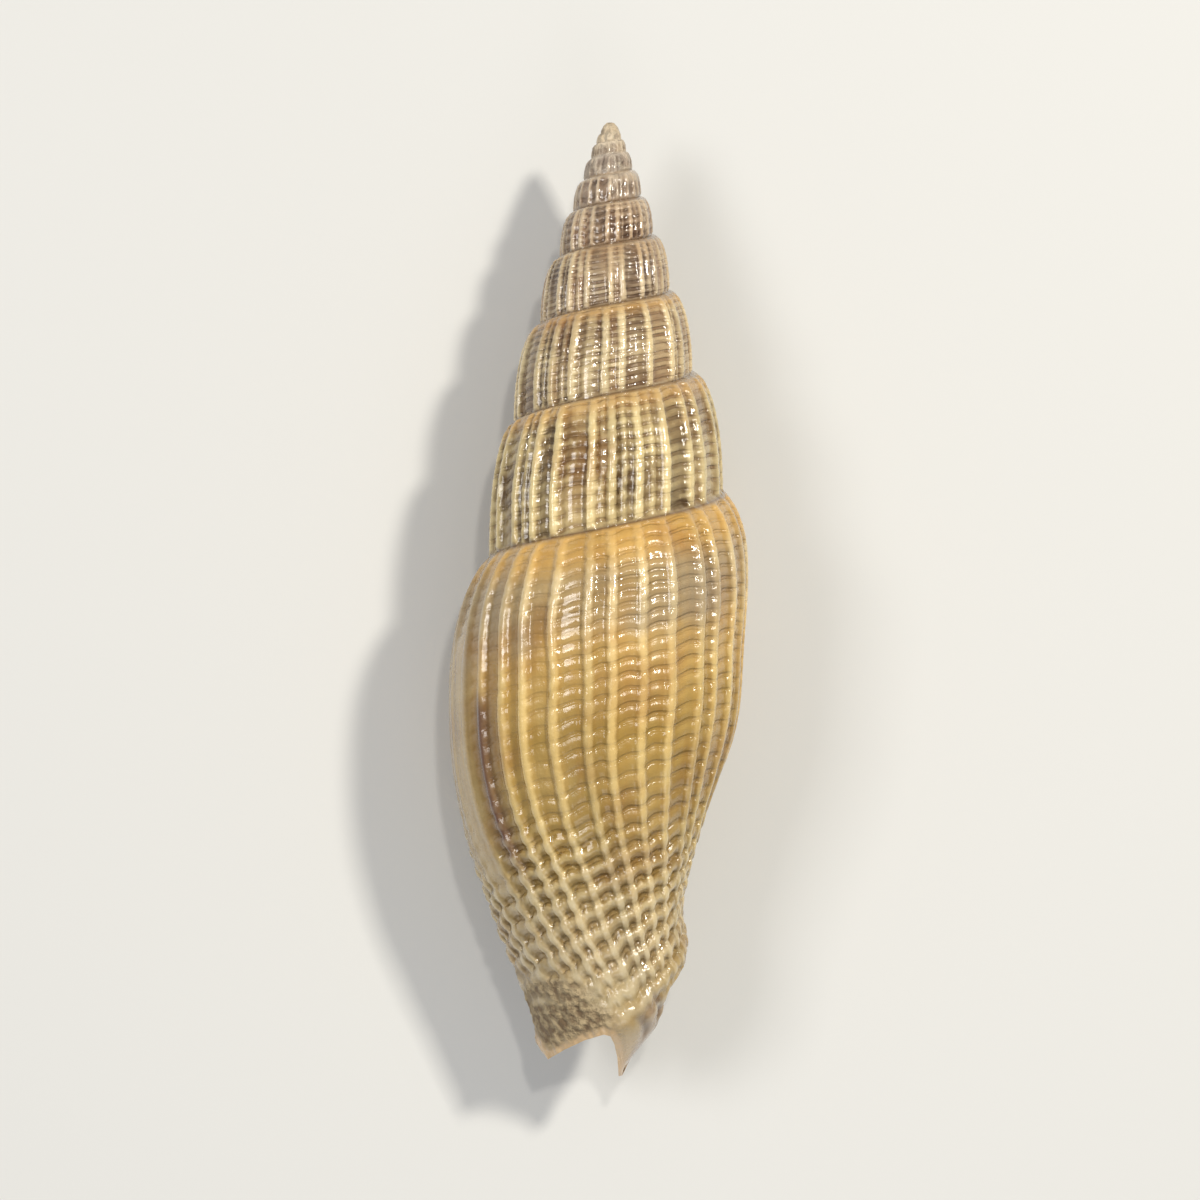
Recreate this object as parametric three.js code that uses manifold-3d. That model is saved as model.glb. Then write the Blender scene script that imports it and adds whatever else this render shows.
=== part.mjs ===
// A slender, ribbed sea snail's shell, lying on its mouth with the spire towards +Y.
// Lengths are in millimetres and turns of growth are counted in whole turns.
// Turn 0 is at the left limb of the last whorl, seen from above, and the shell coils to the right.
import * as THREE from "three";
import { mergeVertices } from "three/addons/utils/BufferGeometryUtils.js";
import Module from "manifold-3d";

// Driving dimensions
const LENGTH = 45; // from the apex to the tip of the columella
const WHORL_RATIO = 1.46; // how much further down each suture lies than the one a turn before
const SUTURE_REACH = 21.6; // from the pole of the spiral to the suture at turn 0
const POLE_RISE = 0.47; // the pole lies this far beyond the blunt apex
const SUTURE_LIFT = 0.57; // how far the last suture climbs back by turn 0
const SUTURE_RADIUS = 4.58; // at turn -1
const SUTURE_SPREAD = 1.379; // how much wider each suture is than the one a turn before
const SPREAD_SLOWING = 0.79; // of the sutures' spread, from SPREAD_SLOWS_FROM on
const SPREAD_SLOWS_FROM = -0.6;
const WHORL_BULGE = 2.2; // how squarely the whorls of the spire round off
const APEX_TURN = -8.37;
const LIP_TURN = 0.13;
const RIBS_ON_SPIRE = 21; // in a turn
const RIBS_ADDED = 10; // more in a turn on the last whorl
const RIB_DEPTH = 0.05; // as a share of the whorl's radius
const CORD_STEP = 0.0235; // in the logarithm of the distance from the pole
const CORD_DEPTH = 0.17;
const FIRST_CORD = 21; // counted from the suture; those above it are too fine for the solid
const LAST_CORD = 36; // the columella below it is smooth
const GROWTH_LAG = 0.117; // in turns: how far growth lines lean over on the base
const LAG_FROM = 30.2; // the depth where they begin to lean
const LAG_DEPTH = 14.15; // the depth below that for the whole lag
const FASCIOLE_HEIGHT = 0.38; // the smooth ridge that winds round the base to the notch
const FASCIOLE_WIDTH = 1.13;
const FASCIOLE_DEPTH = 38.4; // of its middle, half a turn before turn 0
const FASCIOLE_CLIMB = 15.6; // down in a turn
const FASCIOLE_END = 2.8; // it fades over this length above the tip
const WALL = 0.85;
const WALL_AT_CANAL = 0.6;
const HOLLOW_TURN = -0.25; // how far back from the lip the hollow reaches
const HOLLOW_TURN_AT_CANAL = 0;
const HOLLOW_DROP = 1.3; // from the suture to the top of the hollow
const CANAL_FROM = 36; // the depth where the wall begins to thin
const CANAL_CLOSES_FROM = 37.7; // and where the hollow begins to narrow
const CANAL_CHANGE = 6; // the length over which they do so
const LEAST_GAP = 0.06; // of the hollow, where it tapers away
const HOLLOW_COLUMNS = 9;
const HOLLOW_ROWS = 36;
const CALLUS = 0.12; // thickness of the glaze that ends just outside the mouth
const CALLUS_TURN = 0.02; // how far outside
const FOLDS = 4; // on the columella
const FOLD_HEIGHT = 0.42;
const FOLD_STEP = 1.9;
const FOLD_WIDTH = 0.5;
const FOLD_CLIMB = 15; // down in a turn
const FOLD_FADE = 0.15; // how much lower each fold is than the one above it
const FIRST_FOLD_DEPTH = 26.8;
const FLAT_DEPTH = 0.12; // how much is worn off where the shell rests
const ROLL = -0.038; // radians about the long axis, which sets the lip and the whorl beside it down

// The girth of the last whorl: its radius at each quarter turn,
// for each share of the way down from the suture to the tip.
const GIRTH_SHARES = [0, 0.03, 0.08, 0.15, 0.25, 0.4, 0.55, 0.7, 0.8, 0.85, 0.9, 0.95, 1];
const FIRST_GIRTH_TURN = -1.25;
const GIRTHS = [
  [4.2, 4.62, 4.91, 5.14, 5.28, 4.01, 2.45, 1.7, 1.37, 1.22, 1.04, 0.66, 0],
  [4.58, 5.05, 5.33, 5.57, 5.57, 4.43, 2.92, 1.98, 1.51, 1.24, 0.94, 0.57, 0],
  [4.95, 5.52, 5.9, 6.08, 6.13, 5.66, 4.34, 2.92, 2.12, 1.74, 1.32, 0.66, 0],
  [5.47, 6.04, 6.46, 6.56, 6.39, 6, 4.53, 3.3, 2.74, 1.84, 1.22, 0.52, 0],
  [5.61, 6.27, 6.75, 7.03, 7.03, 6.7, 5.75, 4.58, 3.77, 3.38, 2.83, 1.51, 0],
  [5.75, 6.32, 6.93, 7.36, 7.59, 7.45, 6.79, 5.71, 5.09, 4.84, 4.58, 4.2, 3.63],
  [5.85, 6.46, 7.08, 7.55, 7.83, 7.69, 7.08, 5.85, 5.28, 5.01, 4.72, 4.34, 3.77],
];

// The free edge round the notch, from the lip's corner to the tip of the columella, seen from above.
const NOTCH_EDGE = [
  [-4, -42.9],
  [-2.92, -44.15],
  [-2.12, -43.6],
  [-1.18, -43.1],
  [-0.28, -42.8],
  [0.02, -42.9],
  [0.2, -43.3],
  [0.34, -44],
  [0.42, -45.1],
];

// How far the middle line of the canal swings to the right, by distance from the apex.
const SWAY_DEPTHS = [0, 33, 37.7, 40.1, 42.5, 43.9, 45];
const SWAYS = [0, 0, 0.19, 0.57, 0.94, 0.71, 0.57];

function clamp(value, low, high) {
  return Math.min(Math.max(value, low), high);
}

function smooth(value) {
  const share = clamp(value, 0, 1);
  return share * share * (3 - 2 * share);
}

// A smooth curve through the values at the given places.
function curveThrough(places, values, place) {
  const last = places.length - 1;
  let i = 0;
  while (i < last - 1 && place > places[i + 1]) i += 1;
  const slope = (k) => {
    const low = Math.max(k - 1, 0);
    const high = Math.min(k + 1, last);
    return (values[high] - values[low]) / (places[high] - places[low]);
  };
  const width = places[i + 1] - places[i];
  const s = clamp((place - places[i]) / width, 0, 1);
  const fromStart = (1 + 2 * s) * (1 - s) ** 2 * values[i] + s * (1 - s) ** 2 * width * slope(i);
  const fromEnd = s * s * (3 - 2 * s) * values[i + 1] + s * s * (s - 1) * width * slope(i + 1);
  return fromStart + fromEnd;
}

// Growth of the coil
function sutureDepth(turn) {
  const lift = SUTURE_LIFT * clamp((turn + 0.25) / 0.25, 0, 1.5) ** 1.5;
  return SUTURE_REACH * WHORL_RATIO ** turn - POLE_RISE - lift;
}

function sutureRadius(turn) {
  const late = Math.min(turn, 0.2);
  const slowed = late - SPREAD_SLOWING * Math.max(0, late - SPREAD_SLOWS_FROM) ** 2;
  return SUTURE_RADIUS * SUTURE_SPREAD ** (slowed + 1);
}

function lastWhorlRadius(turn, depth) {
  const share = clamp((depth - sutureDepth(turn)) / (LENGTH - sutureDepth(turn)), 0, 1);
  const rows = GIRTHS.map((row) => curveThrough(GIRTH_SHARES, row, share));
  const turns = rows.map((_, k) => FIRST_GIRTH_TURN + 0.25 * k);
  return Math.max(curveThrough(turns, rows, clamp(turn, turns[0], turns.at(-1))), 0);
}

// The smooth surface that the tops of the ribs touch.
function envelope(turn, depth) {
  const top = sutureDepth(turn);
  const next = sutureDepth(turn + 1);
  const share = (depth - top) / (next - top);
  const girth = lastWhorlRadius(turn, depth);
  const bulge = Math.sqrt(1 - (1 - clamp(share, 0, 1)) ** WHORL_BULGE);
  let radius = sutureRadius(turn) + (sutureRadius(turn + 1) - sutureRadius(turn)) * bulge;
  if (share > 1) radius = sutureRadius(turn + 1) * girth / Math.max(lastWhorlRadius(turn, next), 0.01);
  const blend = smooth((turn + 0.87) / 0.25);
  return radius * (1 - blend) + girth * blend + fasciole(turn, depth);
}

// The smooth ridge that winds round the base to the notch.
function fasciole(turn, depth) {
  const middle = FASCIOLE_DEPTH + FASCIOLE_CLIMB * (turn + 0.5);
  const ridge = FASCIOLE_HEIGHT * Math.exp(-(((depth - middle) / FASCIOLE_WIDTH) ** 2));
  return ridge * smooth((turn + 1.05) / 0.2) * clamp((LENGTH - depth) / FASCIOLE_END, 0, 1);
}

// Growth lines lean to the right on the base. This is their lag, in turns.
function lag(depth) {
  return -GROWTH_LAG * clamp((depth - LAG_FROM) / LAG_DEPTH, 0, 2) ** 1.5;
}

// Ribs and cords
function ribPhase(turn) {
  const added = clamp((turn + 2) / 1.6, 0, 1);
  const extra = 1.6 * (added ** 3 - added ** 4 / 2) + Math.max(turn + 0.4, 0);
  return RIBS_ON_SPIRE * turn + RIBS_ADDED * extra;
}

function turnAtRib(phase) {
  let low = APEX_TURN - 1;
  let high = LIP_TURN + 1;
  for (let step = 0; step < 40; step += 1) {
    const middle = (low + high) / 2;
    if (ribPhase(middle) < phase) low = middle;
    else high = middle;
  }
  return (low + high) / 2;
}

// Cords are counted down the whorl from 0 at the suture.
function cordPhase(turn, depth) {
  return Math.log((depth + POLE_RISE) / (SUTURE_REACH * WHORL_RATIO ** turn)) / CORD_STEP;
}

// The depth of a cord on the growth line that leaves the suture at the given turn.
function cordDepth(turn, cord) {
  let depth = LENGTH;
  for (let step = 0; step < 12; step += 1) {
    const reach = SUTURE_REACH * WHORL_RATIO ** (turn + lag(depth));
    depth = reach * Math.exp(cord * CORD_STEP) - POLE_RISE;
  }
  return depth;
}

function ribbed(turn, depth) {
  const smoothRadius = envelope(turn, depth);
  const valley = (1 - Math.cos(2 * Math.PI * ribPhase(turn - lag(depth)))) / 2;
  const belowSuture = smooth((depth - sutureDepth(turn)) / 0.6);
  const aboveCanal = smooth((42 - depth) / 4);
  const pastApex = smooth(turn + 8);
  return smoothRadius * (1 - RIB_DEPTH * valley * belowSuture * aboveCanal * pastApex);
}

function corded(turn, depth) {
  const cord = cordPhase(turn, depth);
  const groove = (1 - Math.cos(2 * Math.PI * cord)) / 2;
  const onBase = smooth((cord - FIRST_CORD + 1) / 2) * smooth((LAST_CORD - cord) / 4);
  const dorsal = smooth((turn + 0.8) / 0.15);
  return ribbed(turn, depth) - CORD_DEPTH * groove * onBase * dorsal + folds(turn, depth);
}

// Slanting folds on the columella, which end just outside the mouth.
function folds(turn, depth) {
  const inside = smooth((LIP_TURN - 1 + 0.06 - turn) / 0.06);
  const climb = FOLD_CLIMB * (turn - LIP_TURN + 1);
  let height = 0;
  for (let fold = 0; fold < FOLDS; fold += 1) {
    const middle = FIRST_FOLD_DEPTH + fold * FOLD_STEP + climb;
    height += (1 - FOLD_FADE * fold) * Math.exp(-(((depth - middle) / FOLD_WIDTH) ** 2));
  }
  return FOLD_HEIGHT * height * inside;
}

function placed(turn, depth, radius) {
  const angle = 2 * Math.PI * turn + Math.PI / 2;
  const sway = curveThrough(SWAY_DEPTHS, SWAYS, depth);
  return [sway - radius * Math.sin(angle), -depth, radius * Math.cos(angle)];
}

// A surface made of rows of points. Each point of a row is { id, at }, and at grows along the row.
class Skin {
  points = [];
  faces = [];

  add(point) {
    this.points.push(point);
    return this.points.length - 1;
  }

  face(a, b, c) {
    if (a !== b && b !== c && c !== a) this.faces.push([a, b, c]);
  }

  // Fills between two rows. Seen from outside, with both running down, the first is on the left.
  zip(left, right) {
    let i = 0;
    let j = 0;
    while (i < left.length - 1 || j < right.length - 1) {
      const rightDone = j === right.length - 1;
      const leftDone = i === left.length - 1;
      if (rightDone || (!leftDone && left[i].at + left[i + 1].at <= right[j].at + right[j + 1].at)) {
        this.face(left[i].id, left[i + 1].id, right[j].id);
        i += 1;
      } else {
        this.face(left[i].id, right[j + 1].id, right[j].id);
        j += 1;
      }
    }
  }

  // Closes a ring of points round one more point.
  fan(ring, point) {
    const middle = this.add(point);
    ring.forEach((id, k) => this.face(id, ring[(k + 1) % ring.length], middle));
  }

  geometry() {
    const geometry = new THREE.BufferGeometry();
    geometry.setAttribute("position", new THREE.Float32BufferAttribute(this.points.flat(), 3));
    geometry.setIndex(this.faces.flat());
    return geometry;
  }
}

// The outside, closed across the mouth
const SPIRE_SHARES = [0, 0.12, 0.4, 0.72];
const BODY_SHARES = [0, 0.05, 0.13, 0.26, 0.45, 0.7];

// Turns with a rib's top or the valley beside it. The nearest ones move to where the coil needs a column.
function columnTurns() {
  const turns = [];
  const last = Math.floor(2 * ribPhase(LIP_TURN));
  for (let half = Math.ceil(2 * ribPhase(APEX_TURN)); half <= last; half += 1) {
    turns.push(turnAtRib(half / 2));
  }
  for (const exact of [APEX_TURN, APEX_TURN + 1, LIP_TURN - 1, LIP_TURN]) {
    const gaps = turns.map((turn) => Math.abs(turn - exact));
    turns[gaps.indexOf(Math.min(...gaps))] = exact;
  }
  return turns;
}

function spireColumn(skin, turn) {
  const top = sutureDepth(turn);
  const height = sutureDepth(turn + 1) - top;
  return SPIRE_SHARES.map((share) => {
    const depth = top + height * share;
    return { id: skin.add(placed(turn, depth, ribbed(turn, depth))), at: share };
  });
}

function lastWhorlDepths(turn) {
  const top = sutureDepth(turn);
  const next = sutureDepth(turn + 1);
  const depths = [...BODY_SHARES, 1].map((share) => top + (next - top) * share);
  let cord = FIRST_CORD - 3;
  while (cordDepth(turn, cord) < LENGTH - 0.5) {
    depths.push(cordDepth(turn, cord));
    cord += cord >= FIRST_CORD && cord < LAST_CORD ? 0.5 : 1.5;
  }
  depths.push(LENGTH - 0.05);
  return depths;
}

function lastWhorlColumn(skin, turn) {
  return lastWhorlDepths(turn).map((depth) => {
    const grown = turn + lag(depth);
    const id = skin.add(placed(grown, depth, corded(grown, depth)));
    return { id, depth, at: cordPhase(grown, depth) };
  });
}

function outerForm() {
  const skin = new Skin();
  const turns = columnTurns();
  const split = turns.indexOf(LIP_TURN - 1);
  const columns = turns.map((turn, k) => {
    return k < split ? spireColumn(skin, turn) : lastWhorlColumn(skin, turn);
  });
  const lip = columns.at(-1);
  const pillar = columns[split];
  const meeting = BODY_SHARES.length;
  pillar[meeting].id = lip[0].id;
  joinColumns(skin, columns, split);
  joinSuture(skin, columns, turns, split);
  const byDepth = (point) => ({ id: point.id, at: point.depth });
  skin.zip(pillar.slice(meeting).map(byDepth), lip.map(byDepth));
  const bottoms = columns.slice(split).map((column) => column.at(-1).id);
  skin.fan(bottoms, placed(0, LENGTH, 0));
  closeApex(skin, columns, turns);
  return skin.geometry();
}

function joinColumns(skin, columns, split) {
  for (let k = 0; k < split - 1; k += 1) skin.zip(columns[k + 1], columns[k]);
  const pillarTop = BODY_SHARES.map((share, row) => ({ id: columns[split][row].id, at: share }));
  skin.zip(pillarTop, columns[split - 1]);
  for (let k = split; k < columns.length - 1; k += 1) skin.zip(columns[k + 1], columns[k]);
}

// Joins the lower end of each column of the spire to the whorl below it.
function joinSuture(skin, columns, turns, split) {
  const above = [];
  for (let k = 0; k <= split; k += 1) {
    const row = k < split ? SPIRE_SHARES.length - 1 : BODY_SHARES.length - 1;
    above.push({ id: columns[k][row].id, at: turns[k] });
  }
  const below = [];
  for (let k = turns.indexOf(APEX_TURN + 1); k < columns.length; k += 1) {
    below.push({ id: columns[k][0].id, at: turns[k] - 1 });
  }
  skin.zip(above, below);
}

function closeApex(skin, columns, turns) {
  const ring = [];
  for (let k = turns.indexOf(APEX_TURN + 1); k >= 0; k -= 1) ring.push(columns[k][0].id);
  ring.push(...columns[0].slice(1).map((point) => point.id));
  skin.fan(ring, [0, 0, 0]);
}

// The hollow behind the mouth
function wall(depth) {
  return WALL + (WALL_AT_CANAL - WALL) * smooth((depth - CANAL_FROM) / CANAL_CHANGE);
}

function hollowPlace(across, down) {
  const nominal = HOLLOW_TURN + (LIP_TURN + CALLUS_TURN - HOLLOW_TURN) * across;
  const top = sutureDepth(nominal) + HOLLOW_DROP;
  const depth = top + (LENGTH + 0.5 - top) * down;
  const closing = smooth((depth - CANAL_CLOSES_FROM) / CANAL_CHANGE);
  const start = HOLLOW_TURN + (HOLLOW_TURN_AT_CANAL - HOLLOW_TURN) * closing;
  const turn = start + (LIP_TURN + CALLUS_TURN - start) * across + lag(depth);
  return { turn, depth };
}

function hollowRadii(turn, depth, across, down) {
  const outside = smooth((across - 0.93) / 0.05);
  const pillar = Math.max(envelope(turn - 1, depth) + folds(turn - 1, depth), 0.05) + CALLUS * outside;
  const inside = envelope(turn, depth) - wall(depth);
  const narrowing = Math.sqrt(smooth(down / 0.08));
  const gap = Math.max(inside - pillar, LEAST_GAP) * Math.max(narrowing, 0.05);
  return { low: Math.min(pillar, Math.max(inside - LEAST_GAP, 0.05)), gap };
}

// One column of the hollow's inner side, against the columella, and of its outer side.
function hollowColumns(skin, across) {
  const low = [];
  const high = [];
  for (let row = 0; row <= HOLLOW_ROWS; row += 1) {
    const down = row / HOLLOW_ROWS;
    const { turn, depth } = hollowPlace(across, down);
    const radii = hollowRadii(turn, depth, across, down);
    low.push({ id: skin.add(placed(turn, depth, radii.low)), at: row });
    high.push({ id: skin.add(placed(turn, depth, radii.low + radii.gap)), at: row });
  }
  return { low, high };
}

function hollowForm() {
  const skin = new Skin();
  const low = [];
  const high = [];
  for (let column = 0; column <= HOLLOW_COLUMNS; column += 1) {
    const sides = hollowColumns(skin, column / HOLLOW_COLUMNS);
    low.push(sides.low);
    high.push(sides.high);
  }
  const firstRow = (side) => side.map((column, k) => ({ id: column[0].id, at: k }));
  const lastRow = (side) => side.map((column, k) => ({ id: column.at(-1).id, at: k }));
  for (let k = 0; k < HOLLOW_COLUMNS; k += 1) {
    skin.zip(high[k + 1], high[k]);
    skin.zip(low[k], low[k + 1]);
  }
  skin.zip(high[0], low[0]);
  skin.zip(low.at(-1), high.at(-1));
  skin.zip(firstRow(low), firstRow(high));
  skin.zip(lastRow(high), lastRow(low));
  return skin.geometry();
}

// What is cut away below the free edge of the canal
function notchForm() {
  const shape = new THREE.Shape(NOTCH_EDGE.map(([x, y]) => new THREE.Vector2(x, y)));
  shape.lineTo(NOTCH_EDGE.at(-1)[0], -LENGTH - 2);
  shape.lineTo(NOTCH_EDGE[0][0] - 2, -LENGTH - 2);
  shape.lineTo(NOTCH_EDGE[0][0] - 2, NOTCH_EDGE[0][1] + 2);
  const geometry = new THREE.ExtrudeGeometry(shape, { depth: LENGTH, bevelEnabled: false });
  return geometry.translate(0, 0, -LENGTH / 2);
}

// Joining and cutting
const library = await Module();
library.setup();

function solid(geometry) {
  const bare = geometry.clone();
  bare.deleteAttribute("normal");
  bare.deleteAttribute("uv");
  const merged = mergeVertices(bare, 1e-5);
  return new library.Manifold(new library.Mesh({
    numProp: 3,
    vertProperties: new Float32Array(merged.attributes.position.array),
    triVerts: new Uint32Array(merged.index.array),
  }));
}

function geometryOf(body) {
  const mesh = body.getMesh();
  const geometry = new THREE.BufferGeometry();
  geometry.setAttribute("position", new THREE.Float32BufferAttribute(mesh.vertProperties, 3));
  geometry.setIndex([...mesh.triVerts]);
  return geometry;
}

// Turns the shell on to its mouth, wears a small flat under it and sets it on the ground.
function laidDown(geometry) {
  geometry.rotateY(ROLL);
  geometry.computeBoundingBox();
  geometry.translate(0, 0, -geometry.boundingBox.min.z - FLAT_DEPTH);
  const ground = new THREE.BoxGeometry(2 * LENGTH, 4 * LENGTH, LENGTH).translate(0, 0, -LENGTH / 2);
  const resting = geometryOf(solid(geometry).subtract(solid(ground)).simplify(0.004));
  resting.computeBoundingBox();
  const { min, max } = resting.boundingBox;
  return resting.translate(-(min.x + max.x) / 2, -(min.y + max.y) / 2, 0);
}

function shell() {
  const whole = solid(outerForm()).subtract(solid(hollowForm())).subtract(solid(notchForm()));
  const material = new THREE.MeshStandardMaterial({ color: 0xb89a5e, roughness: 0.35, metalness: 0 });
  const mesh = new THREE.Mesh(laidDown(geometryOf(whole)), material);
  mesh.name = "shell";
  return mesh;
}

const group = new THREE.Group();
group.add(shell());

export default group;
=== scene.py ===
"""A slender, ribbed sea snail's shell, lying on its mouth on a pale floor, seen from above."""
import math

import bpy
import numpy as np
from mathutils import Euler, Matrix, Vector


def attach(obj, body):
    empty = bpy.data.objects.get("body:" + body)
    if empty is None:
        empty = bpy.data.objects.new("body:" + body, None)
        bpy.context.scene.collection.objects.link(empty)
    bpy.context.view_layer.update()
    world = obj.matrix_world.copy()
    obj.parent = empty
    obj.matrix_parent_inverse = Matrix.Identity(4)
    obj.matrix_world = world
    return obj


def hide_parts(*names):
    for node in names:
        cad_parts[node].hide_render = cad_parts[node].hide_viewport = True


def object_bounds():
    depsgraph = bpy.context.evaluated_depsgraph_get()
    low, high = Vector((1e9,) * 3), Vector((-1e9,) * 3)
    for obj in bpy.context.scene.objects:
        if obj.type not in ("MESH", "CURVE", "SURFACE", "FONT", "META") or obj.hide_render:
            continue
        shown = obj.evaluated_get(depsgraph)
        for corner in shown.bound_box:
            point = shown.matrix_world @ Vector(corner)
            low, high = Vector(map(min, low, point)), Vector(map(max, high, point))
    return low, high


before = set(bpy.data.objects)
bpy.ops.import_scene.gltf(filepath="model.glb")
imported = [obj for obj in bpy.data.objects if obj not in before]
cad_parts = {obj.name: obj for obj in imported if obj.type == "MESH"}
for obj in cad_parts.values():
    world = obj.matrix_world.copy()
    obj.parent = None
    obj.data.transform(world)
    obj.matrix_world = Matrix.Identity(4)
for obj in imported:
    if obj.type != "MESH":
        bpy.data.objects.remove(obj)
cad_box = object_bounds()

# The shell's own measures are in millimetres and whole turns of growth, as in the part's source.
# Turn 0 is at the left limb of the last whorl. Depth is counted down from the apex.
# A pair of numbers for rise() or fall() is where it starts or ends, and its length.
# A pair for hump() is its middle and half its width.
MM = 0.001
TURN = 2 * math.pi

# The coil
LENGTH = 45
WHORL_RATIO = 1.46
SUTURE_REACH = 21.6
POLE_RISE = 0.47
SUTURE_LIFT = 0.57
LIFT_TURNS = 0.25  # the last suture begins to climb back this far before turn 0
LIFT_LIMIT = 1.5
LIFT_POWER = 1.5
SUTURE_RADIUS = 4.58
SUTURE_SPREAD = 1.379
SPREAD_SLOWING = 0.79
SPREAD_SLOWS_FROM = -0.6
SPREAD_ENDS = 0.2
WHORL_BULGE = 2.2
APEX_TURN = -8.37
APEX_DEPTH = 0.02
APEX_DOME = [(0.9, 0.7), (0.66, 0.42), (0.36, 0.17)]  # shares of the first whorl's radius and depth
LIP_TURN = 0.13
FRONT_TURN = -0.25
GIRTHS_FROM = (-0.87, 0.25)
GIRTH_SHARES = [0, 0.03, 0.08, 0.15, 0.25, 0.4, 0.55, 0.7, 0.8, 0.85, 0.9, 0.95, 1]
FIRST_GIRTH_TURN = -1.25
GIRTH_STEP = 0.25
GIRTHS = [
    [4.2, 4.62, 4.91, 5.14, 5.28, 4.01, 2.45, 1.7, 1.37, 1.22, 1.04, 0.66, 0],
    [4.58, 5.05, 5.33, 5.57, 5.57, 4.43, 2.92, 1.98, 1.51, 1.24, 0.94, 0.57, 0],
    [4.95, 5.52, 5.9, 6.08, 6.13, 5.66, 4.34, 2.92, 2.12, 1.74, 1.32, 0.66, 0],
    [5.47, 6.04, 6.46, 6.56, 6.39, 6, 4.53, 3.3, 2.74, 1.84, 1.22, 0.52, 0],
    [5.61, 6.27, 6.75, 7.03, 7.03, 6.7, 5.75, 4.58, 3.77, 3.38, 2.83, 1.51, 0],
    [5.75, 6.32, 6.93, 7.36, 7.59, 7.45, 6.79, 5.71, 5.09, 4.84, 4.58, 4.2, 3.63],
    [5.85, 6.46, 7.08, 7.55, 7.83, 7.69, 7.08, 5.85, 5.28, 5.01, 4.72, 4.34, 3.77],
]
LEAST_GIRTH = 0.01
SWAY_DEPTHS = [0, 33, 37.7, 40.1, 42.5, 43.9, 45]
SWAYS = [0, 0, 0.19, 0.57, 0.94, 0.71, 0.57]
NOTCH_EDGE = [
    (-4, -42.9), (-2.92, -44.15), (-2.12, -43.6), (-1.18, -43.1), (-0.28, -42.8),
    (0.02, -42.9), (0.2, -43.3), (0.34, -44), (0.42, -45.1),
]
NOTCH_MARGIN = 2
GROWTH_LAG = 0.117  # how far growth lines lean to the right on the base, in turns
LAG_FROM = 30.2
LAG_DEPTH = 14.15
LAG_POWER = 1.5
LAG_LIMIT = 2
ROLL = -0.038

# The winding ridge round the base
BASE_BEGINS = (-1.05, 0.2)
FASCIOLE_HEIGHT = 0.38
FASCIOLE_WIDTH = 1.13
FASCIOLE_DEPTH = 38.4
FASCIOLE_CLIMB = 15.6
FASCIOLE_END = 2.8

# Ribs. Each ripple is (size, rate round the shell, rate down it, start).
RIBS_ON_SPIRE = 21
RIBS_ADDED = 10
RIBS_ADDED_FROM = -2
RIBS_ADDED_OVER = 1.6
RIB_WANDER = [(0.12, 9.1, 0, 0), (0.13, 50, 0, 0), (0.07, 87, 0, 1)]
RIB_WAVER = [(0.03, 5, 1.3, 0)]
RIB_TOP = 0.08  # half the width of its top, as a share of the spacing
RIB_SIDE = 0.17
RIBS_WIDER_BY = 0.045
RIBS_WIDER_BELOW = (33, 5)
RIBS_WIDER_FROM = (-1, 0.2)
RIB_STRENGTH = 0.91
RIB_STRENGTH_SPREAD = 0.09
RIB_STRENGTH_SPIN = 1.7
LESSER_RIB = 0.27
LESSER_RIB_SPREAD = 0.30
LESSER_RIB_SPIN = 1.1
LESSER_RIB_SIDE = (0.2, 0.14)
LESSER_RIBS_END = (-1.15, 0.3)
SMALL_TURN = 0.001
RIBS_BEGIN = (-8.2, 0.6)
RIBS_END = (41.6, 3.2)
RIBS_END_CLIMB = 6
RIBS_END_CLIMBS_FROM = -0.35
SHOULDER_SHARE = 0.7
SHOULDER = (0, 0.3)
BELOW_SHOULDER = (0, 1.4)
SPIRE_RELIEF = 0.048  # as a share of the radius
RELIEF_LOST = 0.016
RELIEF_FALLS = (-1, 0.4)

# Cords
CORD_STEP = 0.0265  # in the logarithm of the distance from the pole
SPIRE_CORD_STEP = math.log(WHORL_RATIO) / 11
MORE_CORDS_FROM = (-1, 0.45)
CORD_WAVER = [(0.07, 2.3, 0.7, 0)]
CORD_BEND = 0.09  # between two ribs
CORD_RISE = (-1.15, 1.6)
CORDS_BEGIN = (-7.4, 0.8)
CORDS_END = (43, 2)
WEAK_CORDS_FROM = (-0.36, 0.2)
WEAKENING = 0.45
WEAKENING_ON_LIMB = 0.7
CORD_STRENGTH = 0.72
CORD_PATCHES = [(0.28, 31, 2.1, 0)]
CROSSING_PATCHES = [(1, -17, 0.9, 0)]
GROOVE_DEPTH = 0.06
BASE_GROOVE_DEPTH = 0.15
FULL_WHORL_HEIGHT = 2.5
RIBS_UNCUT = 0.6
RIBS_MORE_UNCUT = 0.25
RIBS_MORE_UNCUT_FROM = (-1, 0.3)
RIBS_CUT_ON_BASE = 0.6
CORDS_FILL_HOLLOWS = 0.4
BASE_BELOW = (30.5, 5)
BASE_CLIMB = 2.5

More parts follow.
